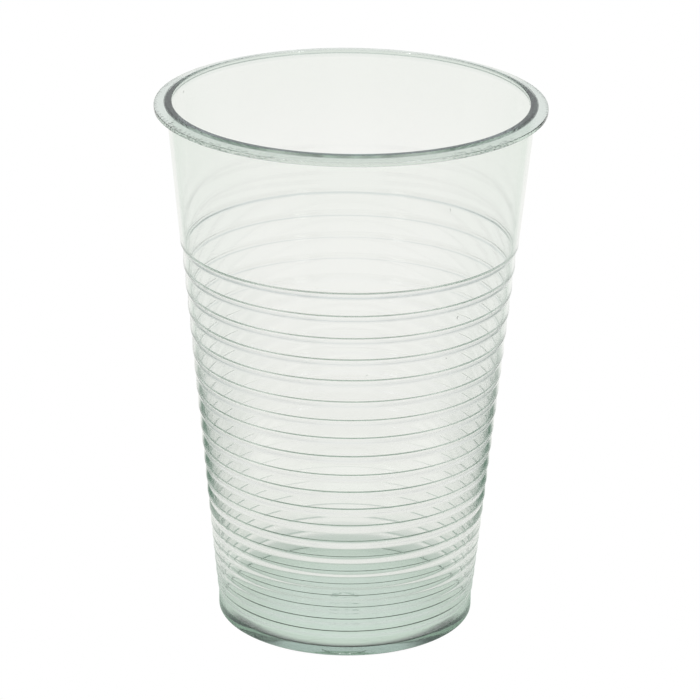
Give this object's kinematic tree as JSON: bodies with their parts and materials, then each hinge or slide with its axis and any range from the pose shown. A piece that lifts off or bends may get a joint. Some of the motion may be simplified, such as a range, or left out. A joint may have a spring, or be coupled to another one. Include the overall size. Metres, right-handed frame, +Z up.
{
  "type": "plastic cup",
  "caption": "Clear moulded plastic drinking cup: tapered wall with stepped rings, plain upper band, narrow flat mouth with a drooping rim flange, flat base.",
  "frame": {"origin": "on the surface the cup stands on, under the centre of the cup", "axes": "+Z up along the cup's axis, from the foot to the rim"},
  "size_m": [0.07, 0.07, 0.098],
  "materials": {
    "clear_plastic": "clear, pale green tint, polished"
  },
  "bodies": {
    "root": {"cup": "clear_plastic"}
  },
  "joints": []
}
